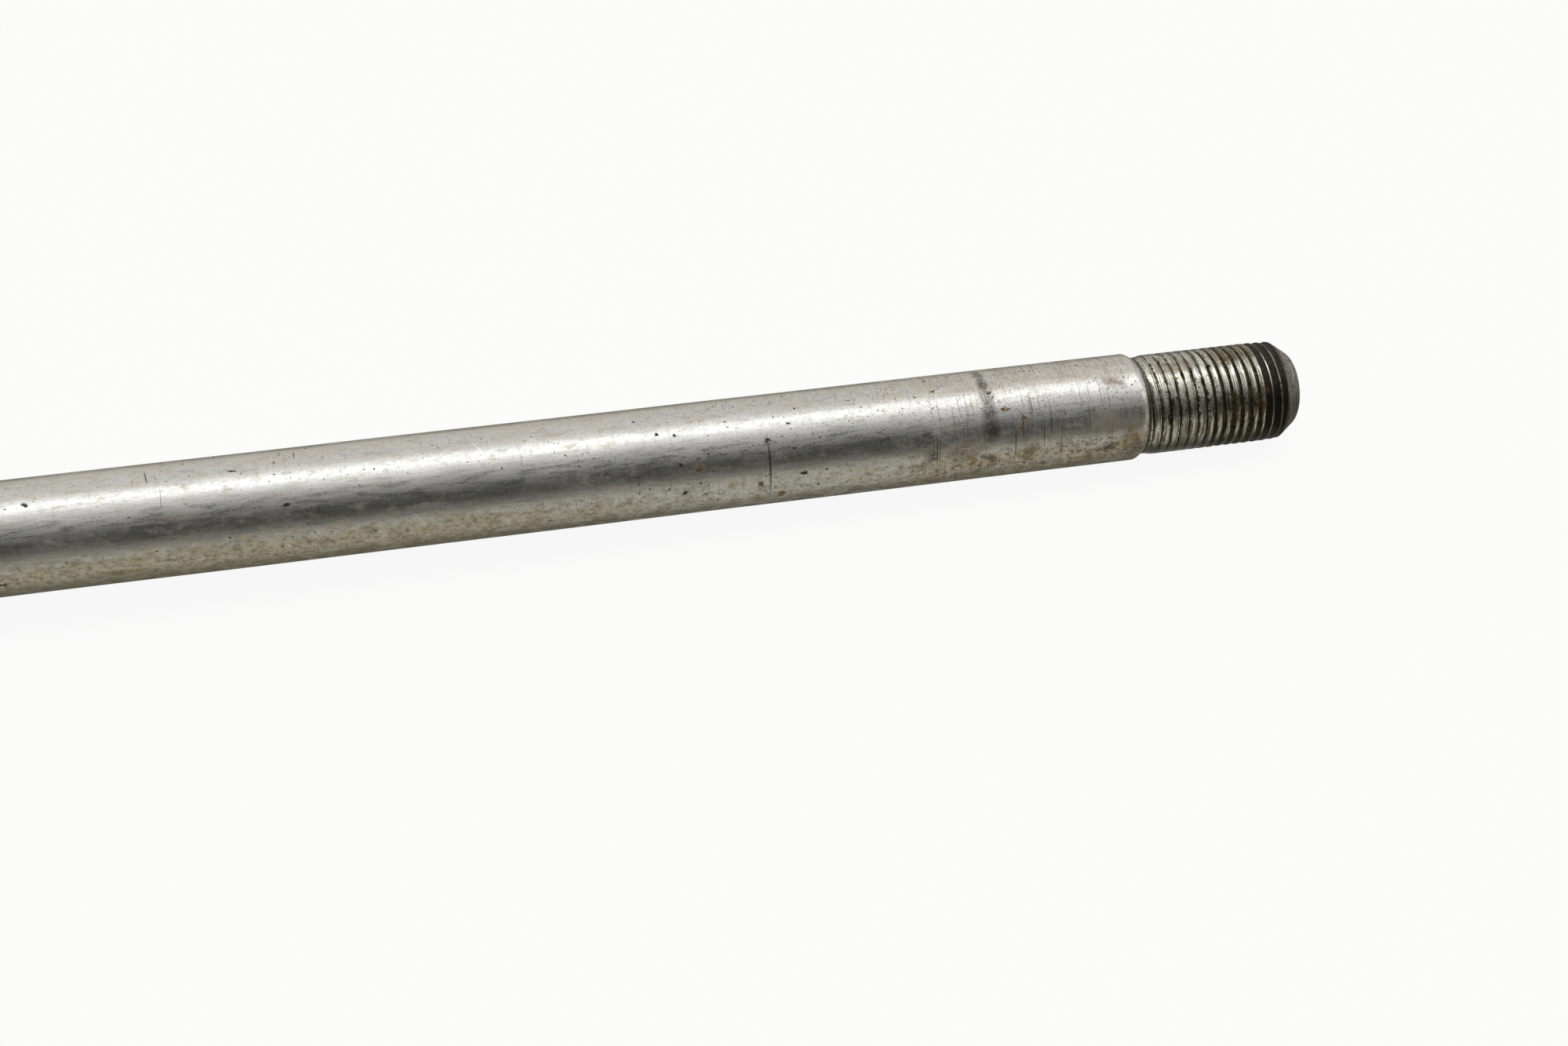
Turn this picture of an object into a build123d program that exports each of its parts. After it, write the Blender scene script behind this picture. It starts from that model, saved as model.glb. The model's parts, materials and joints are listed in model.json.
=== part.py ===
"""Wheel axle bolt: one steel turning with a hexagon head, a ground shank and a stepped-down threaded end.

The bolt's axis is +X. The origin is on the axis at the head's bearing face, so the head lies at
negative X and the shank and thread at positive X. One pair of hexagon flats faces up and down.
All dimensions are in millimetres.
"""

import os
from math import radians, tan

from build123d import *

# Head
head_across_flats = 24.0
head_height = 10.0
head_chamfer_angle = 30.0
head_crown_clearance = 0.6
washer_face_step = 0.75
washer_face_height = 0.8
head_fillet_radius = 0.8

# Shank, ground to size for the wheel bearings and spacers
shank_diameter = 17.0
shank_length = 225.0

# Shoulder where the shank steps down to the threaded end
shoulder_chamfer_length = 1.1
shoulder_edge_radius = 0.9

# Threaded end, M16 x 1.5 at its crests, stepped down from the shank so that it passes through the
# bearings, and cut back to a plain neck beside the shoulder
thread_step = 0.55
thread_end_length = 27.3
neck_depth = 0.25
neck_length = 1.6
tip_chamfer_length = 3.0
tip_chamfer_depth = 2.25
tip_edge_radius = 0.5

shank_radius = shank_diameter / 2
thread_radius = shank_radius - thread_step
neck_radius = thread_radius - neck_depth
tip_radius = thread_radius - tip_chamfer_depth
washer_face_radius = head_across_flats / 2 - washer_face_step
crown_radius = head_across_flats / 2 - head_crown_clearance

# Stations along the axis
shoulder_end = shank_length + shoulder_chamfer_length
tip_end = shank_length + thread_end_length
tip_chamfer_start = tip_end - tip_chamfer_length
thread_start = shoulder_end + neck_length
neck_ramp_length = neck_depth


def hexagon_head():
    """The forged head: a hexagon crowned by a cone on its outer end, with a round washer face inside."""
    hexagon_height = head_height - washer_face_height
    # The crown cone meets the end face at crown_radius and runs out past the hexagon's corners.
    cone_reach = head_across_flats
    cone_drop = (cone_reach - crown_radius) * tan(radians(head_chamfer_angle))
    with BuildPart() as head:
        with BuildSketch(Plane.YZ.offset(-head_height)):
            RegularPolygon(head_across_flats / 2, 6, major_radius=False)
        extrude(amount=hexagon_height)
        with BuildSketch(Plane.XY):
            with BuildLine():
                Polyline(
                    (-head_height, 0),
                    (-head_height, crown_radius),
                    (-head_height + cone_drop, cone_reach),
                    (cone_drop, cone_reach),
                    (cone_drop, 0),
                    close=True,
                )
            make_face()
        revolve(axis=Axis.X, mode=Mode.INTERSECT)
        with BuildSketch(Plane.YZ.offset(-washer_face_height)):
            Circle(washer_face_radius)
        extrude(amount=washer_face_height)
    return head.part


def turned_body():
    """Everything turned about the axis in front of the head, as half of its section revolved."""
    with BuildPart() as body:
        with BuildSketch(Plane.XY):
            with BuildLine():
                Polyline(
                    (0, 0),
                    (0, shank_radius),
                    (shank_length, shank_radius),
                    (shoulder_end, neck_radius),
                    (thread_start, neck_radius),
                    (thread_start + neck_ramp_length, thread_radius),
                    (tip_chamfer_start, thread_radius),
                    (tip_end, tip_radius),
                    (tip_end, 0),
                    close=True,
                )
            make_face()
        revolve(axis=Axis.X)
        rings = body.edges().filter_by(GeomType.CIRCLE).sort_by(Axis.X)
        fillet(rings[1], radius=shoulder_edge_radius)
        fillet(rings[-1], radius=tip_edge_radius)
    return body.part


with BuildPart() as axle_bolt:
    add(hexagon_head())
    add(turned_body())
    under_head_edge = (
        axle_bolt.edges()
        .filter_by(GeomType.CIRCLE)
        .filter_by(lambda edge: abs(edge.radius - shank_radius) < 1e-6)
        .sort_by(Axis.X)[0]
    )
    fillet(under_head_edge, radius=head_fillet_radius)

axle_bolt.part.label = "axle_bolt"
os.makedirs("parts", exist_ok=True)
export_step(axle_bolt.part, "parts/axle_bolt.step")
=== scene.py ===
"""Dresses the axle bolt: its real thread, its worn zinc and steel finish, a plain studio and a camera.

Everything is in metres in the bolt's own frame: +X along the axis towards the threaded tip, the origin
on the axis at the head's bearing face, and one flat of the hexagon facing down. Places on the surface
are given in millimetres along the axis and in degrees around it, from 0 at the side that faces the
camera (-Y) up over the top at 90.
"""

import json
import math
import random

import bmesh
import bpy
import numpy as np
from mathutils import Matrix, Vector


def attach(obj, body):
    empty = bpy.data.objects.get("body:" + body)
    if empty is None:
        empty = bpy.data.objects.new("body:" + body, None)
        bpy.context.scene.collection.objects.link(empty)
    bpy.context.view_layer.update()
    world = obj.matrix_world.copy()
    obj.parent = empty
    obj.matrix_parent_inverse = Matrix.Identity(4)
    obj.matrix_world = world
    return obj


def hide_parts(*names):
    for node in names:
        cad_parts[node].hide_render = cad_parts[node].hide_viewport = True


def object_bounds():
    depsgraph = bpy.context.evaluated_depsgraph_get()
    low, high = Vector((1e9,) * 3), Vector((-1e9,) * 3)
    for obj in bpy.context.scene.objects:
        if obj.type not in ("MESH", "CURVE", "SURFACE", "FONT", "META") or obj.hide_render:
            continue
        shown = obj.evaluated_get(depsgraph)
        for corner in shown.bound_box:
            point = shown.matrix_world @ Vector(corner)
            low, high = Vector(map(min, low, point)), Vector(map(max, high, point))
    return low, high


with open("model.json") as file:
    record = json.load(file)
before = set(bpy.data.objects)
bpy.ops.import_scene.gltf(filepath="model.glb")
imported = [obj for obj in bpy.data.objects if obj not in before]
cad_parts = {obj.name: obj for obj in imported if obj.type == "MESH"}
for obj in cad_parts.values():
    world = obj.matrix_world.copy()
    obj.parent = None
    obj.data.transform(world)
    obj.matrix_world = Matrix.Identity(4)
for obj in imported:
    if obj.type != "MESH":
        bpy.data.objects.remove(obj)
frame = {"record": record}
cad_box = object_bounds()
mounts = {m["name"]: m for m in frame["record"]["mounts"]}

MM = 0.001

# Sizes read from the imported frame
head_end, tip_end = cad_box[0].x, cad_box[1].x
flat_radius = cad_box[1].z
corner_radius = cad_box[1].y
shank_radius = mounts["shank"]["dims"]["r_mm"] * MM
thread_radius = mounts["thread"]["dims"]["r_mm"] * MM

# Details of the head and the threaded end, as the solid has them
WASHER_FACE_HEIGHT = 0.8 * MM
WASHER_FACE_RADIUS = flat_radius - 0.75 * MM
CROWN_RADIUS = flat_radius - 0.6 * MM
CROWN_SLOPE = math.tan(math.radians(30))
HEAD_FILLET = 0.8 * MM
THREADED_LENGTH = 27.3 * MM
SHOULDER_LENGTH = 1.1 * MM
NECK_LENGTH = 1.6 * MM
NECK_RADIUS = thread_radius - 0.25 * MM
TIP_CHAMFER_LENGTH = 3.0 * MM
TIP_RADIUS = thread_radius - 2.25 * MM
TIP_EDGE = 0.5 * MM
shank_end = tip_end - THREADED_LENGTH

# Thread form: the first pitches by the tip are still sharp, the next are worn flat, and by the shoulder
# they are battered until only a seam with a burr in it is left of each groove. Grime fills the roots.
PITCH = 1.5 * MM
GROOVE_DEPTH = 0.52 * MM
GREASY_DEPTH = 0.30 * MM
FLANK_SLOPE = math.tan(math.radians(60))
THREAD_START_TURN = 0.10
SHARP_HALF_WIDTH = 0.070 * MM
WORN_HALF_WIDTH = 0.30 * MM
BATTERED_HALF_WIDTH = 0.47 * MM
BURR_PLACE = -0.12 * MM
BURR_HALF_WIDTH = 0.060 * MM
BURR_HEIGHT = 0.27 * MM
SHARP_FROM = tip_end - 6.9 * MM
BATTERED_UP_TO = tip_end - 15.5 * MM

SEGMENTS = 192
ROWS_PER_PITCH = 20
EDGE = 0.12 * MM


def smoothstep(low, high, value):
    t = np.clip((value - low) / (high - low), 0, 1)
    return t * t * (3 - 2 * t)


# ---------------------------------------------------------------- geometry


def hexagon_radius(angle):
    """Radius of the hexagon at each angle, with its corners slightly rounded."""
    sixth = math.radians(60)
    from_flat = angle % sixth - sixth / 2
    sharp = flat_radius / np.cos(from_flat)
    rounded = corner_radius - 0.12 * MM
    return -np.logaddexp(-sharp / (0.05 * MM), -rounded / (0.05 * MM)) * 0.05 * MM


def head_rings(angle):
    """Rings from the middle of the end face, over the crown and down the flats to the bearing face."""
    hexagon = hexagon_radius(angle)
    round_ = np.ones_like(angle)
    rings = []
    for share in (0.25, 0.5, 0.75, 0.97):
        rings.append((head_end * round_, CROWN_RADIUS * share * round_))
    crown_edge = CROWN_RADIUS * round_
    rings.append((head_end * round_ + 0.02 * MM, crown_edge))
    for share in (0.06, 0.35, 0.65, 0.93):
        radius = crown_edge + (hexagon - crown_edge) * share
        rings.append((head_end + (radius - CROWN_RADIUS) * CROWN_SLOPE, radius))
    crown_foot = head_end + (hexagon - CROWN_RADIUS) * CROWN_SLOPE
    bearing_side = -WASHER_FACE_HEIGHT
    rings.append((crown_foot + 0.05 * MM, hexagon - 0.02 * MM))
    for share in (0.06, 0.25, 0.5, 0.75, 0.97):
        rings.append((crown_foot + (bearing_side - crown_foot) * share, hexagon))
    rings.append((bearing_side * round_, hexagon - EDGE))
    rings.append((bearing_side * round_, WASHER_FACE_RADIUS + 0.2 * MM * round_))
    rings.append((bearing_side * round_, WASHER_FACE_RADIUS * round_))
    rings.append((bearing_side * round_ + EDGE, WASHER_FACE_RADIUS * round_))
    rings.append((-EDGE * round_, WASHER_FACE_RADIUS * round_))
    rings.append((0 * round_, (WASHER_FACE_RADIUS - EDGE) * round_))
    fillet_outer = shank_radius + HEAD_FILLET
    rings.append((0 * round_, (fillet_outer + EDGE) * round_))
    for turn in np.radians(np.linspace(0, 90, 7)):
        x = HEAD_FILLET * (1 - math.cos(turn))
        radius = fillet_outer - HEAD_FILLET * math.sin(turn)
        rings.append((x * round_, radius * round_))
    return rings


def shank_rings(angle):
    """Rings along the shank, very slightly uneven from wear."""
    rings = []
    round_ = np.ones_like(angle)
    for x in np.linspace(HEAD_FILLET + 0.5 * MM, shank_end - 0.8 * MM, 40):
        waver = 0.012 * MM * (np.sin(x / (17 * MM) + 2 * angle) + np.sin(x / (7.3 * MM) - angle))
        rings.append((x * round_, shank_radius - 0.02 * MM + waver))
    return rings


def battered(x):
    """1 where the thread is battered, by the shoulder, and 0 towards the tip."""
    return 1 - smoothstep(BATTERED_UP_TO - 3 * MM, BATTERED_UP_TO + 3 * MM, x)


def sharp(x):
    """1 on the last turns by the tip, which a nut never reached."""
    return smoothstep(SHARP_FROM - 0.6 * MM, SHARP_FROM + 0.6 * MM, x)


def crest_half_width(x, angle):
    """Half the width of a crest: sharp by the tip, worn along the middle, battered flat by the shoulder."""
    worn_around = WORN_HALF_WIDTH + 0.09 * MM * np.sin(angle)
    width = worn_around + (BATTERED_HALF_WIDTH - worn_around) * battered(x)
    ragged = 0.022 * MM * (np.sin(5 * angle + x / (0.9 * MM)) + np.sin(11 * angle - x / (0.6 * MM)))
    ragged += 0.018 * MM * np.sin(23 * angle + x / (0.4 * MM)) * np.sin(7 * angle)
    return width + ragged + (SHARP_HALF_WIDTH - width - 0.8 * ragged) * sharp(x)


def thread_drop(x, angle):
    """How far the surface lies below the crests at x and angle, on a right-hand helix."""
    turn = (x - shank_end) / PITCH - angle / (2 * math.pi) - THREAD_START_TURN
    from_crest = np.abs((turn + 0.5) % 1 - 0.5) * PITCH
    from_groove = (turn % 1 - 0.5) * PITCH
    flank = (from_crest - crest_half_width(x, angle)) * FLANK_SLOPE
    soft = 0.030 * MM
    drop = soft * np.logaddexp(0, flank / soft)
    deepest = GROOVE_DEPTH + (GREASY_DEPTH - GROOVE_DEPTH) * sharp(x)
    drop = deepest - soft * np.logaddexp(0, (deepest - drop) / soft)
    burr = BURR_HEIGHT * np.exp(-(((from_groove - BURR_PLACE) / BURR_HALF_WIDTH) ** 2)) * battered(x)
    run_out = smoothstep(shank_end + SHOULDER_LENGTH + 0.6 * MM, shank_end + 4.0 * MM, x)
    grime_below = 1 - 0.78 * smoothstep(0.1, 0.6, -np.sin(angle))
    return np.maximum(drop - burr, 0) * run_out * grime_below


def tip_limit(x):
    """Radius of the chamfered and round-edged tip at x."""
    slope = (thread_radius - TIP_RADIUS) / TIP_CHAMFER_LENGTH
    chamfer = TIP_RADIUS + (tip_end - x) * slope
    back = np.clip((x - (tip_end - TIP_EDGE)) / TIP_EDGE, 0, 1)
    return chamfer - 0.62 * TIP_EDGE * (1 - np.sqrt(1 - back * back))


def shoulder_rings(angle):
    """The rounded shoulder at the end of the shank."""
    rings = []
    round_ = np.ones_like(angle)
    shoulder = (
        (-0.5, 0.0), (-0.3, -0.008), (-0.15, -0.035), (0.0, -0.08), (0.15, -0.15), (0.3, -0.24),
        (0.45, -0.335), (0.6, -0.44), (0.75, -0.545), (0.9, -0.655), (1.02, -0.745),
    )
    for along, out in shoulder:
        rings.append(((shank_end + along * MM) * round_, (shank_radius + out * MM) * round_))
    return rings


def thread_rows(angle):
    """Rows that follow the helix from the neck to the tip, closest together in the grooves.

    A row that would start before the neck or run past the tip is gathered there, where it merges with
    its neighbours.
    """
    start = shank_end + SHOULDER_LENGTH
    step = np.arange(ROWS_PER_PITCH)
    side = np.minimum(step, ROWS_PER_PITCH - step) / (ROWS_PER_PITCH / 2)
    from_crest = 0.5 * (0.45 * side + 0.55 * np.sin(side * math.pi / 2))
    phases = np.where(step <= ROWS_PER_PITCH / 2, from_crest, 1 - from_crest)
    rows = []
    for pitch in range(-1, math.ceil(THREADED_LENGTH / PITCH)):
        for phase in phases:
            turn = pitch + phase + THREAD_START_TURN + angle / (2 * math.pi)
            x = np.clip(shank_end + turn * PITCH, start, tip_end)
            grown = smoothstep(start + 0.5 * MM, start + NECK_LENGTH + 0.9 * MM, x)
            narrowed = 0.12 * MM * smoothstep(tip_end - 6 * MM, tip_end - 2.5 * MM, x)
            body = NECK_RADIUS + (thread_radius - NECK_RADIUS) * grown - narrowed
            rows.append((x, np.minimum(body - thread_drop(x, angle), tip_limit(x))))
    return rows


def end_rings(angle):
    """The flat face of the tip."""
    round_ = np.ones_like(angle)
    face = tip_limit(tip_end)
    return [(tip_end * round_, face * share * round_) for share in (1.0, 0.93, 0.7, 0.45, 0.2)]


def build_bolt():
    """One closed mesh: rings about the axis, helical rows on the thread and a fan at each end."""
    angle = np.linspace(0, 2 * math.pi, SEGMENTS, endpoint=False)
    plain = head_rings(angle) + shank_rings(angle) + shoulder_rings(angle)
    helical = thread_rows(angle)
    rings = plain + helical + end_rings(angle)
    points = [(head_end, 0.0, 0.0)]
    for x, radius in rings:
        points.extend(zip(x, radius * np.cos(angle), radius * np.sin(angle)))
    points.append((tip_end, 0.0, 0.0))

    # A helical row goes on, after a full turn, as the row one pitch further
    ring = np.arange(len(rings))
    last_helical = len(plain) + len(helical) - 1
    on_helix = (ring >= len(plain)) & (ring <= last_helical)
    after_turn = np.where(on_helix, np.minimum(ring + ROWS_PER_PITCH, last_helical), ring)
    index = 1 + ring[:, None] * SEGMENTS + np.arange(SEGMENTS)[None, :]
    index = np.column_stack([index, 1 + after_turn * SEGMENTS])
    quads = np.stack([index[:-1, :-1], index[:-1, 1:], index[1:, 1:], index[1:, :-1]], axis=-1)
    faces = quads.reshape(-1, 4).tolist()
    faces += [(0, right, left) for left, right in zip(index[0, :-1], index[0, 1:])]
    faces += [(left, right, len(points) - 1) for left, right in zip(index[-1, :-1], index[-1, 1:])]

    mesh = bpy.data.meshes.new("bolt")
    mesh.from_pydata(points, [], faces)
    shape = bmesh.new()
    shape.from_mesh(mesh)
    bmesh.ops.remove_doubles(shape, verts=shape.verts, dist=0.0001 * MM)
    bmesh.ops.recalc_face_normals(shape, faces=shape.faces)
    shape.to_mesh(mesh)
    shape.free()
    mesh.polygons.foreach_set("use_smooth", [True] * len(mesh.polygons))
    mesh.set_sharp_from_angle(angle=math.radians(50))
    mesh.update()
    piece = bpy.data.objects.new("bolt", mesh)
    bpy.context.scene.collection.objects.link(piece)
    return piece


# ---------------------------------------------------------------- shader helpers


class Tree:
    """Short names for adding and joining shader nodes."""

    def __init__(self, tree):
        self.tree = tree
        tree.nodes.clear()

    def add(self, kind, inputs=None, **settings):
        node = self.tree.nodes.new(kind)
        for name, value in settings.items():
            setattr(node, name, value)
        for name, value in (inputs or {}).items():
            self.feed(node.inputs[name], value)
        return node

    def feed(self, socket, value):
        if isinstance(value, bpy.types.NodeSocket):
            self.tree.links.new(value, socket)
        else:
            socket.default_value = value

    def math(self, operation, *values):
        node = self.add("ShaderNodeMath", operation=operation)
        for socket, value in zip(node.inputs, values):
            self.feed(socket, value)
        return node.outputs[0]

    def times(self, *values):
        result = values[0]
        for value in values[1:]:
            result = self.math("MULTIPLY", result, value)
        return result

    def vector(self, operation, *values):
        node = self.add("ShaderNodeVectorMath", operation=operation)
        for socket, value in zip(node.inputs, values):
            self.feed(socket, value)
        return node.outputs["Value" if operation in ("LENGTH", "DOT_PRODUCT") else "Vector"]

    def step(self, value, low, high, to_low=0.0, to_high=1.0):
        """A smooth step from to_low at low to to_high at high."""
        node = self.add(
            "ShaderNodeMapRange",
            {0: value, 1: low, 2: high, 3: to_low, 4: to_high},
            interpolation_type="SMOOTHSTEP",
        )
        return node.outputs[0]

    def noise(self, place, stretch, detail=2.0, roughness=0.5):
        """Noise whose grains are 1 / stretch millimetres along x, y and z."""
        scaled = self.vector("MULTIPLY", place, stretch)
        return self.add(
            "ShaderNodeTexNoise", {"Vector": scaled, "Scale": 1.0, "Detail": detail, "Roughness": roughness}
        ).outputs[0]

    def near(self, value, place, half_width, softness):
        """1 where value lies within half_width of place, fading out over softness."""
        away = self.math("ABSOLUTE", self.math("SUBTRACT", value, place))
        return self.step(away, half_width + softness, max(half_width - softness, 0.0))

    def dim(self, colour, share, depth):
        """The colour, darker by depth where share is 1."""
        left = self.math("SUBTRACT", 1.0, self.times(share, depth))
        node = self.add("ShaderNodeVectorMath", {0: colour, "Scale": left}, operation="SCALE")
        return node.outputs["Vector"]

    def dots(self, place, scale, crowd, small, large, dimensions="3D"):
        """Scattered dots: a share crowd of the cells of the given scale holds one, from small to large."""
        cells = self.add(
            "ShaderNodeTexVoronoi", {"Vector": place, "Scale": scale, "Randomness": 1.0},
            voronoi_dimensions=dimensions,
        )
        draw = self.add("ShaderNodeSeparateColor", {0: cells.outputs["Color"]})
        size = self.step(draw.outputs[1], 0.0, 1.0, small, large)
        dot = self.step(cells.outputs["Distance"], size, self.times(size, 0.45))
        return self.times(dot, self.math("LESS_THAN", draw.outputs[0], crowd))

    def mix(self, share, a, b):
        node = self.add("ShaderNodeMix", data_type="RGBA")
        for index, value in ((0, share), (6, a), (7, b)):
            self.feed(node.inputs[index], value)
        return node.outputs[2]

    def blend(self, share, a, b):
        node = self.add("ShaderNodeMix", data_type="FLOAT")
        for index, value in ((0, share), (2, a), (3, b)):
            self.feed(node.inputs[index], value)
        return node.outputs[0]


# ---------------------------------------------------------------- marks on the surface

# Zones: millimetres along and degrees around
SHOULDER = shank_end / MM
HEAD_HALF = (40, SHOULDER - 85)
MIDDLE = (SHOULDER - 80, SHOULDER - 50)
WORN_END = (SHOULDER - 38, SHOULDER - 8)
BY_SHOULDER = (SHOULDER - 8, SHOULDER - 1)
BATTERED_THREAD = (SHOULDER + 4, SHOULDER + 12)
WORN_THREAD = (SHOULDER + 15, SHOULDER + 21)
FRONT = (-25, 105)
UPPER_FRONT = (0, 90)
LOWER_FRONT = (-25, 50)
BACK = (110, 165)
UNDERSIDE = (-160, -60)

# The two marks that stand out: a long cut part of the way round, with a pit at its upper end, and a
# dark ring over the top
LONG_CUT = SHOULDER - 60
LONG_CUT_MIDDLE = 15
LONG_CUT_HALF = 4.60
LONG_CUT_UPPER_END = LONG_CUT_MIDDLE + 30
RING_STAIN = SHOULDER - 25
RING_STAIN_PARTS = range(30, 105, 17)
RING_STAIN_PART_HALF = 1.9

draw = random.Random(16)


def scatter(count, along, around, half_along, half_around, turn=(0, 0)):
    """Marks drawn within limits: place along (mm) and around (degrees), half sizes (mm), turn (degrees)."""
    limits = (along, around, half_along, half_around, turn)
    return [tuple(draw.uniform(low, high) for low, high in limits) for _ in range(count)]


def pit_marks():
    pits = [(LONG_CUT, LONG_CUT_UPPER_END, 0.36, 0.34, 0)]
    pits += scatter(20, MIDDLE, FRONT, (0.15, 0.30), (0.12, 0.20), (-30, 30))
    pits += scatter(4, MIDDLE, FRONT, (0.34, 0.50), (0.20, 0.32), (-40, 50))
    pits += scatter(5, HEAD_HALF, FRONT, (0.35, 0.70), (0.20, 0.32), (-50, 60))
    pits += scatter(3, WORN_END, FRONT, (0.12, 0.26), (0.12, 0.28))
    pits += scatter(4, MIDDLE, BACK, (0.18, 0.36), (0.14, 0.26), (-30, 30))
    pits += scatter(11, BATTERED_THREAD, UPPER_FRONT, (0.20, 0.34), (0.24, 0.95), (-20, 20))
    return pits


def rust_marks():
    rust = scatter(5, WORN_END, UPPER_FRONT, (0.50, 0.85), (0.20, 0.50))
    rust += scatter(3, MIDDLE, LOWER_FRONT, (0.25, 0.90), (0.34, 0.70), (-15, 0))
    rust += scatter(4, WORN_THREAD, UPPER_FRONT, (0.55, 0.80), (0.35, 0.70), (0, 30))
    return rust


def stain_marks():
    stains = [
        (RING_STAIN, around, draw.uniform(0.6, 1.2), RING_STAIN_PART_HALF, 0) for around in RING_STAIN_PARTS
    ]
    stains += scatter(5, WORN_END, LOWER_FRONT, (0.50, 1.60), (0.40, 1.00), (-30, 10))
    stains += scatter(2, BY_SHOULDER, LOWER_FRONT, (1.30, 2.20), (0.50, 1.80))
    stains += scatter(2, WORN_END, BACK, (1.60, 2.40), (0.40, 0.80), (5, 20))
    stains += scatter(2, MIDDLE, UNDERSIDE, (1.60, 2.40), (0.50, 0.90), (5, 20))
    return stains


def brown_marks():
    brown = scatter(5, BY_SHOULDER, FRONT, (1.00, 2.40), (0.90, 1.80), (-15, 30))
    brown += scatter(2, BATTERED_THREAD, UPPER_FRONT, (0.90, 2.40), (1.00, 1.30))
    brown += scatter(6, WORN_END, LOWER_FRONT, (0.30, 2.60), (0.60, 1.40))
    brown += scatter(3, WORN_END, BACK, (2.40, 4.00), (0.80, 1.30))
    brown += scatter(3, HEAD_HALF, LOWER_FRONT, (1.20, 3.00), (0.26, 0.50))
    return brown


def cut_marks():
    cuts = [(LONG_CUT, LONG_CUT_MIDDLE, 0.14, LONG_CUT_HALF, 0)]
    cuts += scatter(9, WORN_END, (0, 50), (0.060, 0.085), (1.60, 3.00), (-2, 2))
    cuts += scatter(2, HEAD_HALF, FRONT, (0.09, 0.12), (0.90, 1.60), (-5, 12))
    cuts += scatter(3, HEAD_HALF, BACK, (0.09, 0.11), (2.00, 3.00), (-2, 2))
    return cuts


def bright_scratch_marks():
    scratches = scatter(4, HEAD_HALF, FRONT, (0.07, 0.08), (0.80, 2.00), (30, 46))
    scratches += scatter(4, WORN_END, FRONT, (1.00, 1.50), (0.06, 0.08), (-6, 20))
    return scratches


def marks(t, along, arc, table, softness):
    """One mask of a list of marks, on the unrolled surface.

    The running total rides in the third coordinate, which counts for nothing, so that the marks are
    worked out one after another and the shader stays within its memory.
    """
    total = 0.0
    for mark_along, mark_around, half_along, half_around, turn in table:
        place = t.add("ShaderNodeCombineXYZ", {0: along, 1: arc, 2: total}).outputs[0]
        mapping = t.add(
            "ShaderNodeMapping",
            {
                "Vector": place,
                "Location": (mark_along, math.radians(mark_around) * shank_radius / MM, 0),
                "Rotation": (0, 0, math.radians(turn)),
                "Scale": (half_along, half_around, 1e6),
            },
            vector_type="TEXTURE",
        )
        distance = t.vector("LENGTH", mapping.outputs[0])
        total = t.math("MAXIMUM", total, t.step(distance, 1 + softness, 1 - softness))
    return total


# ---------------------------------------------------------------- colours

# The shank's metal, what covers it, and painted light and shade on it
ZINC_DULL = (0.60, 0.595, 0.57, 1)
ZINC_PALE = (0.67, 0.665, 0.645, 1)
POLISHED_LIT = (0.74, 0.735, 0.71, 1)
RING_PALE = (0.66, 0.63, 0.55, 1)
TOP_FILM = (0.66, 0.58, 0.42, 1)
HAZE = (0.49, 0.43, 0.335, 1)
TAN_PALE = (0.60, 0.535, 0.385, 1)
TAN_DARK = (0.42, 0.375, 0.25, 1)
WORN_TAN_PALE = (0.55, 0.45, 0.28, 1)
WORN_TAN_DARK = (0.30, 0.215, 0.11, 1)
PAINTED_SHADE_BAND = (0.30, 0.26, 0.18, 1)
UNDERSIDE_SHADE_OLIVE = (0.145, 0.131, 0.080, 1)

# The thread's crests, its grooves and their seams, and painted light and shade on them
BATTERED_PALE = (0.77, 0.76, 0.69, 1)
BATTERED_DULL = (0.60, 0.59, 0.475, 1)
THREAD_TOP_FILM = (0.50, 0.455, 0.32, 1)
CREST_BRIGHT = (0.70, 0.68, 0.61, 1)
CREST_DULL = (0.29, 0.262, 0.180, 1)
GRIME_OLIVE = (0.100, 0.095, 0.050, 1)
GRIME_BROWN = (0.115, 0.080, 0.034, 1)
DIRT_DARK = (0.042, 0.034, 0.017, 1)
DIRT_PALE = (0.145, 0.115, 0.060, 1)
GREASE_DARK = (0.020, 0.018, 0.013, 1)
GREASE_PAINTED_LIGHT = (0.044, 0.037, 0.026, 1)
SEAM_GAP = (0.050, 0.042, 0.024, 1)
SEAM_BURR = (0.80, 0.78, 0.70, 1)
THREAD_UNDERSIDE_SHADE = (0.028, 0.028, 0.014, 1)

# The tip's chamfer
CHAMFER_DARK_SHADED = (0.060, 0.062, 0.048, 1)
CHAMFER_DARK_LIT = (0.14, 0.128, 0.110, 1)
CHAMFER_PALE_SHADED = (0.145, 0.145, 0.115, 1)
CHAMFER_PALE_LIT = (0.38, 0.35, 0.31, 1)
CHAMFER_CHIP_GLINT = (0.60, 0.54, 0.46, 1)

# Marks
STAIN = (0.095, 0.088, 0.074, 1)
BROWN_ABOVE = (0.23, 0.17, 0.115, 1)
BROWN_BELOW = (0.25, 0.170, 0.072, 1)
FOOT_GRIME_AND_SHADE = (0.045, 0.036, 0.022, 1)
SPECK = (0.045, 0.035, 0.022, 1)
DUST = (0.10, 0.085, 0.065, 1)
CUT = (0.058, 0.050, 0.038, 1)
RUST_EDGE = (0.33, 0.205, 0.060, 1)
RUST_CORE = (0.070, 0.042, 0.013, 1)
THREAD_RUST = (0.110, 0.058, 0.020, 1)
PIT = (0.020, 0.018, 0.012, 1)
BRIGHT_SCRATCH = (0.85, 0.833, 0.799, 1)


# ---------------------------------------------------------------- the steel


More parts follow.
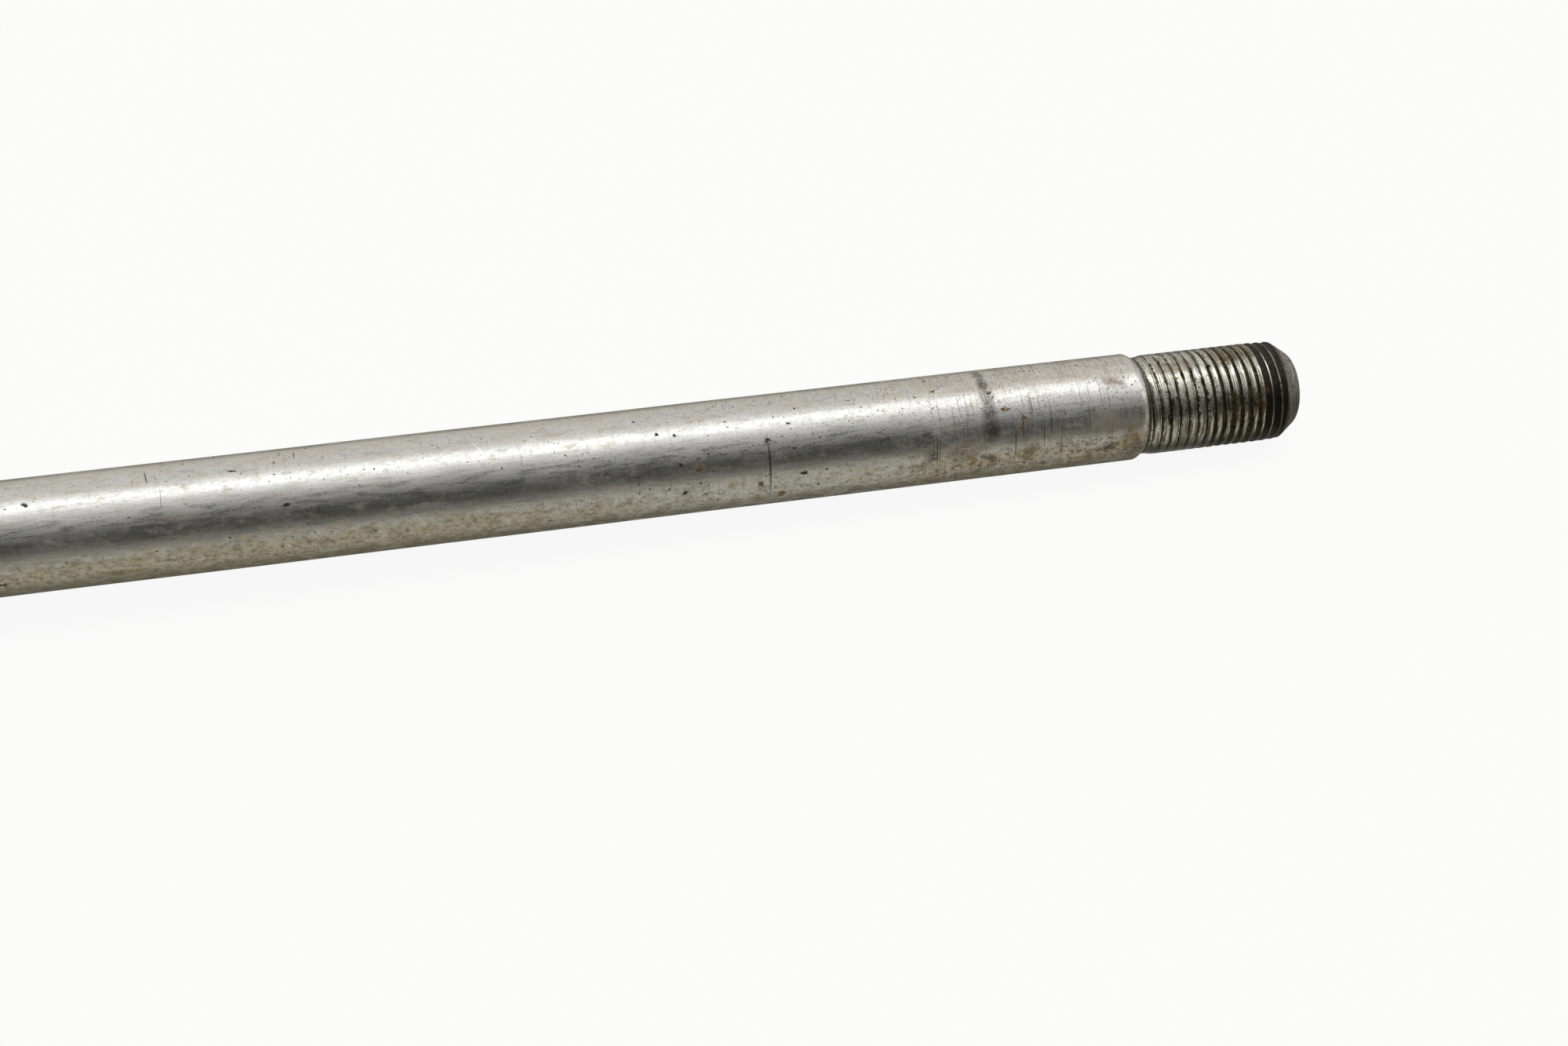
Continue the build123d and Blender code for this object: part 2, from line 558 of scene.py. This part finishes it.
class Surface:
    """Places on the bolt in millimetres, its zones and the noises of its wear, as shader sockets."""

    def __init__(self, t):
        where = t.add("ShaderNodeTexCoord").outputs["Object"]
        in_mm = t.add("ShaderNodeVectorMath", {0: where, "Scale": 1 / MM}, operation="SCALE")
        self.place = in_mm.outputs["Vector"]
        split = t.add("ShaderNodeSeparateXYZ", {0: self.place})
        self.along, self.y, self.z = split.outputs
        self.around = t.math("ARCTAN2", self.z, t.math("MULTIPLY", self.y, -1.0))
        self.arc = t.times(self.around, shank_radius / MM)
        self.radius = t.math("SQRT", t.math("ADD", t.times(self.y, self.y), t.times(self.z, self.z)))

        # Zones
        self.on_thread = t.step(self.along, SHOULDER + 0.9, SHOULDER + 1.3)
        self.worn_end = t.step(self.along, SHOULDER - 44, SHOULDER - 32)
        self.far_end = t.step(self.along, SHOULDER - 60, SHOULDER - 110)
        self.lower = t.step(self.z, 2.6, -1.0)
        self.bottom = t.step(self.z, -1.5, -5.6)
        self.top = t.step(self.z, 7.6, 8.42)

        # Wear
        self.cloudy = t.noise(self.place, (0.10, 0.30, 0.30), 4.0, 0.6)
        self.blotchy = t.noise(self.place, (0.42, 0.75, 0.75), 5.0, 0.62)
        self.mottled = t.noise(self.place, (1.2, 1.6, 1.6), 5.0, 0.68)
        self.fine = t.noise(self.place, (3.8, 4.2, 4.2), 3.0, 0.6)
        self.smears = t.noise(self.place, (0.22, 1.6, 1.6), 3.0, 0.6)
        self.rings = t.noise(self.place, (3.6, 0.16, 0.16), 3.0, 0.6)


def clean_shank(t, s):
    """Grey zinc and bare steel, polished towards the thread and painted lighter there higher up as a
    highlight, with dark wisps painted along the side as a reflection of a wavy surface.
    """
    colour = t.mix(t.step(s.cloudy, 0.35, 0.65), ZINC_DULL, ZINC_PALE)
    # Lighter towards the thread above the lower half: partly polish, partly a painted highlight
    polished_and_lit = t.times(s.worn_end, t.math("SUBTRACT", 1.0, s.lower), 0.42)
    colour = t.mix(polished_and_lit, colour, POLISHED_LIT)
    colour = t.dim(colour, t.step(s.mottled, 0.50, 0.76), 0.15)
    colour = t.dim(colour, t.step(s.smears, 0.54, 0.70), 0.18)
    colour = t.dim(colour, t.times(s.top, t.step(s.mottled, 0.46, 0.64)), 0.16)
    over_top = t.times(t.step(s.around, 1.45, 2.00), t.step(s.blotchy, 0.30, 0.60, 0.5, 1.0))
    colour = t.mix(t.times(over_top, 0.50), colour, TOP_FILM)

    # Dark wisps painted along the side, on the upper edge of the reflected dark band: a painted reflection
    # of a wavy surface, fainter towards the thread
    painted_wisps = t.near(s.around, 0.66, 0.16, 0.16)
    painted_wisps = t.times(painted_wisps, t.step(s.smears, 0.46, 0.60), t.step(s.fine, 0.40, 0.58, 0.25, 1.0))
    painted_wisps = t.times(painted_wisps, t.step(s.worn_end, 0.0, 1.0, 1.0, 0.35))
    return t.dim(colour, painted_wisps, 0.48)


def hazy(t, s, colour):
    """The colour under a thin warm haze."""
    haze = t.math("ADD", s.cloudy, t.math("ADD", t.times(s.top, 0.12), t.times(s.worn_end, 0.10)))
    hazy_part = t.times(s.top, t.math("ADD", t.times(s.worn_end, 0.24), 0.32))
    hazy_part = t.math("ADD", hazy_part, t.math("ADD", t.times(s.lower, 0.16), 0.03))
    hazy_part = t.times(hazy_part, t.step(s.blotchy, 0.30, 0.66, 0.5, 1.25))
    return t.mix(t.times(t.step(haze, 0.38, 0.66), hazy_part), colour, HAZE)


def filmed_and_shaded(t, s, colour):
    """The colour under old grease and oxide, most of it below, with mottled patches on the lower half
    darkened as painted shade, and how far that film covers it.
    """
    reach = t.math("ADD", t.times(s.far_end, 0.20), t.times(s.worn_end, 0.15))
    reach = t.times(t.math("ADD", reach, 0.10), s.lower)
    reach = t.math("ADD", reach, t.times(s.bottom, 0.08))
    film = t.step(t.math("ADD", s.blotchy, reach), 0.50, 0.86)
    tan = t.mix(t.step(s.mottled, 0.38, 0.62), TAN_PALE, TAN_DARK)
    worn_tan = t.mix(t.step(s.mottled, 0.40, 0.60), WORN_TAN_PALE, WORN_TAN_DARK)
    tan = t.mix(t.times(s.lower, s.worn_end, t.step(s.cloudy, 0.36, 0.62, 0.25, 1.0)), tan, worn_tan)
    colour = t.mix(t.times(film, 0.80), colour, tan)
    # Darker mottled patches on the lower half, most of all towards the thread: painted shade
    colour = t.dim(colour, t.times(s.lower, t.step(s.mottled, 0.46, 0.68)), 0.34)
    return t.dim(colour, t.times(s.worn_end, s.lower, t.step(s.mottled, 0.46, 0.64)), 0.24), film


def grainy_and_shaded(t, s, colour):
    """The colour with dark grains, a brownish band of painted shade towards the thread and a dark olive
    underside of painted shade.
    """
    grain_depth = t.math("ADD", t.times(s.worn_end, 0.30), 0.55)
    grain_depth = t.math("SUBTRACT", grain_depth, t.times(s.far_end, 0.30))
    grains = t.times(t.step(s.fine, 0.48, 0.68), grain_depth)
    colour = t.dim(colour, grains, 0.45)
    # A brownish band at a fixed angle towards the thread: painted shade
    shade_band = t.times(t.near(s.around, 0.24, 0.08, 0.14), s.worn_end, t.step(s.blotchy, 0.34, 0.58))
    colour = t.mix(t.times(shade_band, 0.45), colour, PAINTED_SHADE_BAND)
    # A dark olive underside, broken up a little by the blotches: painted shade
    olive = t.times(s.bottom, t.step(s.blotchy, 0.36, 0.60, 0.6, 1.0))
    return t.mix(olive, colour, UNDERSIDE_SHADE_OLIVE)


def ringed(t, s, colour):
    """The colour with fine turning marks, strongest towards the thread."""
    ring_zone = t.math("ADD", t.times(s.worn_end, 0.16), 0.12)
    colour = t.dim(colour, t.times(t.step(s.rings, 0.52, 0.72), ring_zone), 0.80)
    pale_rings = t.times(t.step(s.rings, 0.46, 0.32), s.worn_end, s.lower)
    return t.mix(t.times(pale_rings, 0.35), colour, RING_PALE)


def shank_colour(t, s):
    """The shank's colour, and how far an old film covers it."""
    colour = hazy(t, s, clean_shank(t, s))
    colour, film = filmed_and_shaded(t, s, colour)
    return ringed(t, s, grainy_and_shaded(t, s, colour)), film


def read_thread(t, s):
    """Adds to the surface its place across a pitch, the thread's zones, and where a crest is, narrowed on
    the lower half as painted shade.
    """
    end, pitch = tip_end / MM, PITCH / MM
    turned = t.math("DIVIDE", t.math("SUBTRACT", math.pi, s.around), 2 * math.pi)
    turn = t.math("SUBTRACT", t.math("DIVIDE", t.math("SUBTRACT", s.along, SHOULDER), pitch), turned)
    turn = t.math("SUBTRACT", turn, THREAD_START_TURN)
    s.from_crest = t.times(t.math("SUBTRACT", t.math("FRACT", t.math("ADD", turn, 0.5)), 0.5), pitch)
    s.from_groove = t.times(t.math("SUBTRACT", t.math("FRACT", turn), 0.5), pitch)

    s.battered = t.step(s.along, BATTERED_UP_TO / MM + 3, BATTERED_UP_TO / MM - 3)
    greasy_from = SHARP_FROM / MM
    ragged_along = t.math("ADD", s.along, t.times(s.blotchy, 1.2))
    s.greasy = t.step(ragged_along, greasy_from - 0.2, greasy_from + 1.0)
    s.chamfer = t.step(s.along, end - 3.1, end - 2.6)
    floor = t.step(s.along, SHOULDER + 1.5, SHOULDER + 3.5, 7.35, thread_radius / MM - 0.40)
    battered_drop = t.step(s.battered, 1.0, 0.0, 0.0, 0.11)
    depth = t.math("SUBTRACT", s.radius, t.math("ADD", floor, battered_drop))
    streaks = t.math("ADD", t.times(s.along, 0.5), t.times(s.from_crest, 1.6))
    streaks = t.add("ShaderNodeCombineXYZ", {0: streaks, 1: s.y, 2: s.z}).outputs[0]
    s.streaks = t.noise(streaks, (1.0, 0.28, 0.28), 4.0, 0.62)
    off_crest = t.math("ABSOLUTE", s.from_crest)
    thin = t.math("SUBTRACT", 1.0, t.times(s.greasy, t.step(off_crest, 0.09, 0.17)))
    bright_part = t.step(s.streaks, 0.38, 0.62, 0.34, 0.02)
    # Crests outside the battered zone narrowed on the lower half, so that more of them takes the dark
    # groove colour: painted shade
    shaded_narrowing = t.times(t.step(t.math("SUBTRACT", off_crest, bright_part), 0.0, 0.10), s.lower)
    shaded_narrowing = t.times(shaded_narrowing, t.math("SUBTRACT", 1.0, s.battered), 0.92)
    thin = t.times(thin, t.math("SUBTRACT", 1.0, shaded_narrowing))
    s.crest = t.times(t.step(depth, 0.0, 0.30), thin)


def thread_lines(t, s):
    """Noise in fine lines that run with the thread."""
    across = t.times(s.from_crest, 5.0)
    ahead = t.math("ADD", t.times(s.y, 0.16), t.times(s.along, 0.4))
    line_place = t.add("ShaderNodeCombineXYZ", {0: across, 1: ahead, 2: t.times(s.z, 0.16)}).outputs[0]
    return t.add(
        "ShaderNodeTexNoise", {"Vector": line_place, "Scale": 1.0, "Detail": 3.0, "Roughness": 0.62}
    ).outputs[0]


def crest_colour(t, s):
    """Crests that are pale and battered by the shoulder, and bright or dulled where they are worn."""
    lip = t.near(s.from_crest, -0.24, 0.05, 0.04)
    lip = t.times(lip, t.math("SUBTRACT", 1.0, s.battered), t.math("SUBTRACT", 1.0, s.greasy))

    pale = t.mix(t.step(s.blotchy, 0.40, 0.60), BATTERED_PALE, BATTERED_DULL)
    over_top = t.step(s.around, 1.22, 1.75)
    pale = t.mix(t.times(over_top, 0.65), pale, THREAD_TOP_FILM)
    worn = t.math("SUBTRACT", 1.0, s.battered)
    dulled = t.times(worn, t.step(t.math("ADD", s.blotchy, t.times(over_top, 0.36)), 0.50, 0.72))
    bright = t.mix(dulled, CREST_BRIGHT, CREST_DULL)
    crest = t.mix(s.battered, bright, pale)
    crest = t.dim(crest, t.step(s.lines, 0.46, 0.62), 0.66)
    crest = t.dim(crest, lip, 0.80)
    return grimy_and_shaded(t, s, crest, worn)


def grimy_and_shaded(t, s, crest, worn):
    """The crest's colour under patches of grime, whose coverage grows lower down as painted shade, and
    dimmed on the lower half as painted shade.
    """
    # Grime patches, partly real dirt and partly painted shade: their coverage grows lower down
    grime_and_shade = t.blend(t.step(s.z, 5.0, 0.0), s.mottled, s.streaks)
    grime_and_shade = t.math("ADD", grime_and_shade, t.step(s.z, 6.0, 1.0, -0.03, 0.05))
    grime_and_shade = t.math("ADD", grime_and_shade, t.times(worn, t.step(s.z, 6.2, 4.2), 0.06))
    grime_and_shade = t.math("ADD", grime_and_shade, t.step(t.math("ABSOLUTE", s.from_groove), 0.60, 0.05, 0.0, 0.13))
    covers = t.times(worn, t.step(s.z, 7.2, 5.6), 0.38)
    covers = t.math("ADD", covers, t.math("ADD", t.times(s.battered, 0.45), 0.40))
    grime_and_shade = t.times(t.step(grime_and_shade, 0.53, 0.66), covers)
    grime_colour = t.mix(t.step(s.blotchy, 0.42, 0.60), GRIME_OLIVE, GRIME_BROWN)
    crest = t.mix(grime_and_shade, crest, grime_colour)
    # The lower half dimmed: painted shade
    crest = t.dim(crest, s.lower, 0.14)
    return t.dim(crest, t.step(s.fine, 0.50, 0.68), 0.38)


def groove_colour(t, s):
    """Dry dirt in the grooves, and black grease in those by the tip, with paler patches above as painted
    light and all of it darker on the lower half as painted shade.
    """
    dirt = t.mix(t.step(s.mottled, 0.40, 0.60), DIRT_DARK, DIRT_PALE)
    # Paler grease in mottled patches on the upper side: painted light
    grease = t.times(t.step(s.mottled, 0.38, 0.68), t.step(s.z, 2.0, 6.5))
    grease = t.mix(grease, GREASE_DARK, GREASE_PAINTED_LIGHT)
    dirt = t.mix(s.greasy, dirt, grease)
    # Half as bright on the lower half: painted shade
    return t.dim(dirt, s.lower, 0.5)


def seamed(t, s, colour):
    """The colour with the seam of each battered groove: a bright burr beside a dark gap."""
    off_gap = t.math("ABSOLUTE", t.math("SUBTRACT", s.from_groove, 0.08))
    gap_width = t.math("ADD", s.mottled, t.step(s.z, 6.0, 1.0, -0.04, 0.05))
    gap_width = t.step(gap_width, 0.36, 0.66, 0.05, 0.42)
    gap = t.step(t.math("SUBTRACT", off_gap, gap_width), 0.05, -0.05)
    gap = t.math("MAXIMUM", gap, t.near(s.from_groove, -0.28, 0.05, 0.04))
    gap = t.times(gap, s.battered, t.step(s.fine, 0.66, 0.44, 0.45, 1.0))
    burr = t.near(s.from_groove, BURR_PLACE / MM, 0.10, 0.04)
    burr = t.times(burr, s.battered, t.step(s.mottled, 0.66, 0.54))
    colour = t.mix(t.times(gap, 0.90), colour, SEAM_GAP)
    return t.mix(t.times(burr, 0.90), colour, SEAM_BURR)


def chamfer_colour(t, s):
    """The tip's chamfer: dull turned steel, painted lighter above as light and darker below as shade, with
    a few pale chips above, partly painted glints.
    """
    # Lit and shaded copies of the chamfer's colours, by height: painted light and shade
    lit_side = t.step(s.z, 1.0, 5.0)
    end_dark = t.mix(lit_side, CHAMFER_DARK_SHADED, CHAMFER_DARK_LIT)
    end_pale = t.mix(lit_side, CHAMFER_PALE_SHADED, CHAMFER_PALE_LIT)
    end_grey = t.mix(t.step(s.rings, 0.40, 0.62), end_dark, end_pale)
    end_grey = t.dim(end_grey, t.step(s.mottled, 0.44, 0.62), 0.45)
    return t.mix(t.times(t.step(s.fine, 0.60, 0.68), lit_side), end_grey, CHAMFER_CHIP_GLINT)


def thread_colour(t, s):
    """Crests over grooves, from battered by the shoulder to thin and clean by the tip, a painted shade over
    the underside, and the chamfer.
    """
    read_thread(t, s)
    s.lines = thread_lines(t, s)
    crest = crest_colour(t, s)
    groove = groove_colour(t, s)
    colour = seamed(t, s, t.mix(s.crest, groove, crest))
    # A near-black underside: painted shade
    colour = t.mix(t.times(t.step(s.z, -0.8, -4.0), 0.92), colour, THREAD_UNDERSIDE_SHADE)
    return t.mix(s.chamfer, colour, chamfer_colour(t, s))


class Wear:
    """How far each kind of mark covers each point, as shader sockets."""

    def __init__(self, t, s):
        # Where marks are read: pushed about a little, so that no edge is a clean curve
        wobble = t.add("ShaderNodeTexNoise", {"Vector": s.place, "Scale": 1.7, "Detail": 3.0})
        shift = t.add("ShaderNodeSeparateColor", {0: wobble.outputs["Color"]})
        shift_along = t.math("SUBTRACT", shift.outputs[0], 0.5)
        shift_around = t.math("SUBTRACT", shift.outputs[1], 0.5)
        ragged = (
            t.math("ADD", s.along, t.times(shift_along, 0.9)),
            t.math("ADD", s.arc, t.times(shift_around, 0.9)),
        )
        straight = (
            t.math("ADD", s.along, t.times(shift_along, 0.16)),
            t.math("ADD", s.arc, t.times(shift_around, 0.37)),
        )
        self.ragged_along = ragged[0]
        hairlines = self.scatter_over(t, s, ragged, straight)

        stained = t.step(s.mottled, 0.34, 0.52, 0.60, 1.0)
        pits = marks(t, *ragged, pit_marks(), 0.45)
        self.pits = t.times(pits, t.step(s.mottled, 0.28, 0.42, 0.6, 1.0))
        rust = marks(t, *ragged, rust_marks(), 0.60)
        self.rust = t.times(rust, t.step(s.mottled, 0.30, 0.5), t.step(s.fine, 0.36, 0.52, 0.45, 1.0))
        self.stains = t.times(marks(t, *ragged, stain_marks(), 0.60), stained)
        self.brown = t.times(marks(t, *ragged, brown_marks(), 0.80), stained)
        cuts = marks(t, *straight, cut_marks(), 0.60)
        self.cuts = t.math("MAXIMUM", cuts, t.times(hairlines, 0.55))
        self.scratches = marks(t, *ragged, bright_scratch_marks(), 0.55)

    def scatter_over(self, t, s, ragged, straight):
        """Specks and dust all over, and hairlines around the end of the shank, which are returned."""
        crowd = t.step(t.noise(s.place, (0.09, 0.16, 0.16), 2.0), 0.42, 0.66, 0.10, 0.62)
        flat = t.add("ShaderNodeCombineXYZ", {0: ragged[0], 1: ragged[1]}).outputs[0]
        crowd = t.times(crowd, t.math("SUBTRACT", 1.0, t.times(s.far_end, 0.65)))
        self.specks = t.dots(flat, 1.25, crowd, 0.05, 0.22, "2D")
        dust_crowd = t.math("ADD", t.times(crowd, 0.50), t.times(s.worn_end, 0.06))
        self.dust = t.dots(s.place, 3.0, dust_crowd, 0.18, 0.42)
        unrolled = t.add(
            "ShaderNodeCombineXYZ", {0: t.times(straight[0], 1 / 0.30), 1: t.times(straight[1], 1 / 9.0)}
        )
        hairline_crowd = t.times(s.worn_end, t.step(s.lower, 0.0, 1.0, 0.34, 0.09))
        hairline_crowd = t.math("ADD", hairline_crowd, 0.004)
        return t.dots(unrolled.outputs[0], 1.0, hairline_crowd, 0.12, 0.36, "2D")


def foot_grime_and_shade(t, s, wear):
    """How far grime and painted shade fill the corner at the shoulder's foot, more of it at one place
    around.
    """
    foot_mm = (shank_end + SHOULDER_LENGTH) / MM
    blob = t.step(t.math("ABSOLUTE", t.math("SUBTRACT", s.around, 0.85)), 0.44, 0.12, 0.0, 0.90)
    foot_width = t.math("ADD", t.step(s.mottled, 0.35, 0.65, 0.28, 0.50), blob)
    foot = t.math("SUBTRACT", wear.ragged_along, foot_mm)
    return t.times(t.step(foot, foot_width, t.times(foot_width, 0.6)), t.step(foot, -0.35, -0.10))


def marked(t, s, wear, foot, colour):
    """The colour with its grime and painted shade at the shoulder's foot, specks, dust, cuts, rust, pits
    and bright scratches.
    """
    colour = t.mix(t.times(foot, 0.88), colour, FOOT_GRIME_AND_SHADE)
    colour = t.mix(t.times(wear.specks, 0.85), colour, SPECK)
    colour = t.mix(t.times(wear.dust, 0.60), colour, DUST)
    colour = t.mix(t.times(wear.cuts, 0.84), colour, CUT)
    rust_colour = t.mix(t.step(wear.rust, 0.50, 0.85), RUST_EDGE, RUST_CORE)
    rust_colour = t.mix(s.on_thread, rust_colour, THREAD_RUST)
    colour = t.mix(t.times(t.step(wear.rust, 0.0, 0.75), 0.88), colour, rust_colour)
    colour = t.mix(t.times(wear.pits, 0.95), colour, PIT)
    return t.mix(t.times(wear.scratches, 0.8), colour, BRIGHT_SCRATCH)


def metal_and_dull(t, s, wear, foot, film):
    """How metallic and how dull the surface is: films, rust and dirt hide the metal."""
    groove = t.times(s.on_thread, t.math("SUBTRACT", 1.0, s.crest))
    groove = t.math("MAXIMUM", groove, foot)
    cover = t.times(film, t.math("SUBTRACT", 0.40, t.times(s.on_thread, 0.36)))
    cover = t.math("MAXIMUM", cover, t.times(groove, 0.10))
    cover = t.math("MAXIMUM", cover, t.times(s.chamfer, 0.30))
    cover = t.math("MAXIMUM", cover, t.times(wear.brown, 0.55))
    cover = t.math("MAXIMUM", cover, t.times(wear.rust, 0.35))
    metal = t.math("SUBTRACT", 1.0, cover)
    dull = t.math("MAXIMUM", cover, wear.pits)
    dull = t.math("MAXIMUM", dull, t.math("MAXIMUM", wear.specks, t.times(groove, 0.6)))
    return metal, t.math("MAXIMUM", dull, wear.rust)


def roughness(t, s, dull):
    rough = t.step(s.cloudy, 0.3, 0.7, 0.20, 0.29)
    rough = t.math("ADD", rough, t.step(s.mottled, 0.42, 0.70, 0.0, 0.14))
    rough = t.math("ADD", rough, t.times(s.worn_end, 0.02))
    rough = t.blend(s.on_thread, rough, t.blend(s.crest, 0.50, 0.22))
    return t.blend(dull, rough, 0.62)


def relief_in_mm(t, s):
    """The finest unevenness, as a height for the bump."""
    relief = t.times(s.cloudy, 0.060)
    relief = t.math("ADD", relief, t.times(s.smears, t.math("SUBTRACT", 1.0, s.on_thread), 0.016))
    relief = t.math("ADD", relief, t.times(s.mottled, 0.0035))
    relief = t.math("ADD", relief, t.times(s.fine, t.math("ADD", t.times(s.worn_end, 0.0022), 0.0008)))
    relief = t.math("ADD", relief, t.times(s.rings, 0.0045))
    return t.math("ADD", relief, t.times(s.lines, t.times(s.on_thread, 0.022)))


def steel_material():
    """Zinc-plated steel, polished by use and stained, with a battered, grimy thread, and with light and
    shade partly painted into its colour.
    """
    material = bpy.data.materials.new("worn_steel")
    material.use_nodes = True
    t = Tree(material.node_tree)
    s = Surface(t)
    wear = Wear(t, s)

    plain, film = shank_colour(t, s)
    stains = t.times(wear.stains, t.step(s.fine, 0.62, 0.44, 0.30, 1.0))
    plain = t.mix(t.times(stains, 0.95), plain, STAIN)
    colour = t.mix(s.on_thread, plain, thread_colour(t, s))
    brown_colour = t.mix(s.lower, BROWN_ABOVE, BROWN_BELOW)
    colour = t.mix(t.times(wear.brown, 0.70), colour, brown_colour)
    foot = foot_grime_and_shade(t, s, wear)
    colour = marked(t, s, wear, foot, colour)
    metal, dull = metal_and_dull(t, s, wear, foot, film)
    rough = roughness(t, s, dull)
    bump = t.add("ShaderNodeBump", {"Height": relief_in_mm(t, s), "Strength": 1.0, "Distance": MM})

    shader = t.add(
        "ShaderNodeBsdfPrincipled",
        {"Base Color": colour, "Metallic": metal, "Roughness": rough, "Normal": bump.outputs[0]},
    )
    output = t.add("ShaderNodeOutputMaterial")
    t.tree.links.new(shader.outputs[0], output.inputs["Surface"])
    return material


# ---------------------------------------------------------------- studio

# The bolt lies on one flat of its head and on the edge of its shoulder, so the floor tilts under it.
rest_tilt = math.atan2(flat_radius - shank_radius, shank_end + WASHER_FACE_HEIGHT)


def make_floor():
    """Pale paper, white to the camera but for the bolt's soft shadow; to reflections it shows a painted
    glow, dimmer away from the lamp and with a painted shadow under the bolt.
    """
    size = 3.0
    mesh = bpy.data.meshes.new("floor")
    corners = [(-size, -size, 0), (size, -size, 0), (size, size, 0), (-size, size, 0)]
    mesh.from_pydata(corners, [], [(0, 1, 2, 3)])
    floor = bpy.data.objects.new("floor", mesh)
    floor.matrix_world = Matrix.Translation((-WASHER_FACE_HEIGHT, 0, -flat_radius)) @ Matrix.Rotation(
        -rest_tilt, 4, "Y"
    )
    bpy.context.scene.collection.objects.link(floor)
    material = bpy.data.materials.new("floor_paper")
    material.use_nodes = True
    t = Tree(material.node_tree)
    path = t.add("ShaderNodeLightPath")
    where = t.add("ShaderNodeTexCoord").outputs["Object"]
    ahead = t.math("MULTIPLY", t.add("ShaderNodeSeparateXYZ", {0: where}).outputs[1], -1.0)
    # A painted shadow under the bolt, in the glow that reflections see
    painted_contact_shadow = t.step(ahead, -8 * MM, 12 * MM, 0.24, 1.0)
    fall_off = t.times(t.step(ahead, 16 * MM, 75 * MM, 1.0, 0.13), painted_contact_shadow)
    paper = t.add("ShaderNodeBsdfDiffuse", {"Color": (0.62, 0.60, 0.54, 1)})
    white = t.add("ShaderNodeEmission", {"Color": (1, 1, 1, 1), "Strength": 1.0})
    sweep = t.add("ShaderNodeEmission", {"Color": (0.63, 0.61, 0.54, 1), "Strength": fall_off})
    seen = t.math("MAXIMUM", path.outputs["Is Camera Ray"], path.outputs["Is Transmission Ray"])
    share = t.times(seen, 0.92)
    mix = t.add("ShaderNodeMixShader", {0: share, 1: paper.outputs[0], 2: white.outputs[0]})
    mirrored = t.times(path.outputs["Is Glossy Ray"], 0.75)
    mix = t.add("ShaderNodeMixShader", {0: mirrored, 1: mix.outputs[0], 2: sweep.outputs[0]})
    output = t.add("ShaderNodeOutputMaterial")
    t.tree.links.new(mix.outputs[0], output.inputs["Surface"])
    floor.data.materials.append(material)


def light_world():
    """A long softbox overhead, a pale sweep behind and a dim room in front, by angle about the X axis."""
    world = bpy.data.worlds.new("studio")
    bpy.context.scene.world = world
    world.use_nodes = True
    t = Tree(world.node_tree)
    where = t.add("ShaderNodeTexCoord")
    split = t.add("ShaderNodeSeparateXYZ", {0: where.outputs["Generated"]})
    front = t.math("MULTIPLY", split.outputs["Y"], -1.0)
    angle = t.math("ARCTAN2", split.outputs["Z"], front)
    share = t.math("DIVIDE", angle, math.pi)
    ramp = t.add("ShaderNodeValToRGB", {0: share})
    stops = (
        (0.0, 0.085), (0.13, 0.09), (0.18, 0.185), (0.24, 0.34), (0.31, 0.54), (0.38, 0.80), (0.44, 1.15),
        (0.49, 2.15), (0.55, 2.15), (0.585, 1.10), (0.66, 0.92), (0.80, 0.88), (0.95, 0.76), (1.0, 0.70),
    )
    levels = ramp.color_ramp.elements
    while len(levels) < len(stops):
        levels.new(0.5)
    for level, (at, value) in zip(levels, stops):
        level.position = at
        level.color = (value, value, value * (1.0 if value > 0.3 else 0.92), 1)
    path = t.add("ShaderNodeLightPath")
    studio = t.add("ShaderNodeBackground", {"Color": ramp.outputs[0], "Strength": 1.0})
    white = t.add("ShaderNodeBackground", {"Color": (1, 1, 1, 1), "Strength": 1.0})
    seen = t.math("MAXIMUM", path.outputs["Is Camera Ray"], path.outputs["Is Transmission Ray"])
    mix = t.add("ShaderNodeMixShader", {0: seen, 1: studio.outputs[0], 2: white.outputs[0]})
    output = t.add("ShaderNodeOutputWorld")
    t.tree.links.new(mix.outputs[0], output.inputs["Surface"])


CAMERA_PLACE = Vector((105.90, -268.41, 196.08)) * MM
CAMERA_TARGET = Vector((166.04, -13.31, -4.44)) * MM
CAMERA_LENS = 50.0
CAMERA_SENSOR = 36.0


def place_camera():
    """Looks down along the bolt from beside the shank, level with the floor."""
    data = bpy.data.cameras.new("camera")
    data.lens = CAMERA_LENS
    data.sensor_width = CAMERA_SENSOR
    data.clip_start = 0.01
    data.clip_end = 20.0
    camera = bpy.data.objects.new("camera", data)
    bpy.context.scene.collection.objects.link(camera)
    back = (CAMERA_PLACE - CAMERA_TARGET).normalized()
    floor_up = Vector((-math.sin(rest_tilt), 0, math.cos(rest_tilt)))
    right = floor_up.cross(back).normalized()
    up = back.cross(right)
    turn = Matrix((right, up, back)).transposed().to_4x4()
    camera.matrix_world = Matrix.Translation(CAMERA_PLACE) @ turn
    bpy.context.scene.camera = camera


bolt = build_bolt()
bolt.data.materials.append(steel_material())
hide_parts("axle_bolt")
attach(bolt, "root")

make_floor()
light_world()
place_camera()
bpy.context.scene.view_settings.view_transform = "Standard"
